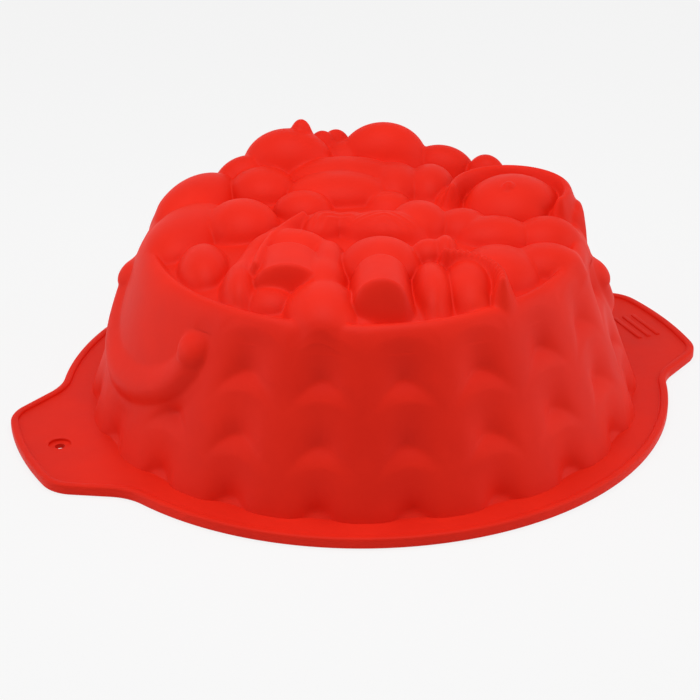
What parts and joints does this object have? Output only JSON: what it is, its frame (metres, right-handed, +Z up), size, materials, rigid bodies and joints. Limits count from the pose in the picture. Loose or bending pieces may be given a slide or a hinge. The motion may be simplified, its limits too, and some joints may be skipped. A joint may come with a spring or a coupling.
{
  "type": "cake mould",
  "caption": "Round flexible silicone cake mould shaped as a quilted fruit basket, with two flat handle tabs, one holed for hanging.",
  "frame": {"origin": "centre of the flange's flat resting face, on the surface that the mouth-down pan stands on", "axes": "+Z up from the resting face to the fruit relief, +X through the handle tab with the grip ribs, -X through the tab with the hanging hole"},
  "size_m": [0.2908, 0.25, 0.0925],
  "materials": {
    "silicone": "satin"
  },
  "bodies": {
    "root": {"apricot_front": "silicone", "apricot_inner": "silicone", "apricot_middle": "silicone", "apricot_outer": "silicone", "apricot_side": "silicone", "banana_inner": "silicone", "banana_left": "silicone", "banana_outer": "silicone", "banana_rear_left": "silicone", "basket_rim": "silicone", "basket_wall": "silicone", "berries_back": "silicone", "berries_far_right": "silicone", "berry_front": "silicone", "berry_front_left": "silicone", "berry_under_bow": "silicone", "bow_knot": "silicone", "bow_leaf": "silicone", "bow_ridge": "silicone", "bow_tail_left": "silicone", "bow_tail_right": "silicone", "drop_handle_left": "silicone", "drop_handle_right": "silicone", "fig_rear_left": "silicone", "flange_ring": "silicone", "grape_left": "silicone", "grip_tab": "silicone", "handle_knob_left_a": "silicone", "handle_knob_left_b": "silicone", "handle_knob_right_a": "silicone", "handle_knob_right_b": "silicone", "hang_tab": "silicone", "leaf_centre": "silicone", "leaf_collar": "silicone", "leaf_curl_left": "silicone", "leaf_left": "silicone", "melon_right": "silicone", "mushroom_left": "silicone", "mushroom_right": "silicone", "pear_back": "silicone", "pear_front": "silicone", "plum_back": "silicone", "plum_far_right": "silicone", "plum_front_left": "silicone", "plum_left": "silicone", "plum_rear_left": "silicone", "plum_rear_right": "silicone", "plum_right": "silicone", "rim_bead": "silicone"}
  },
  "joints": []
}
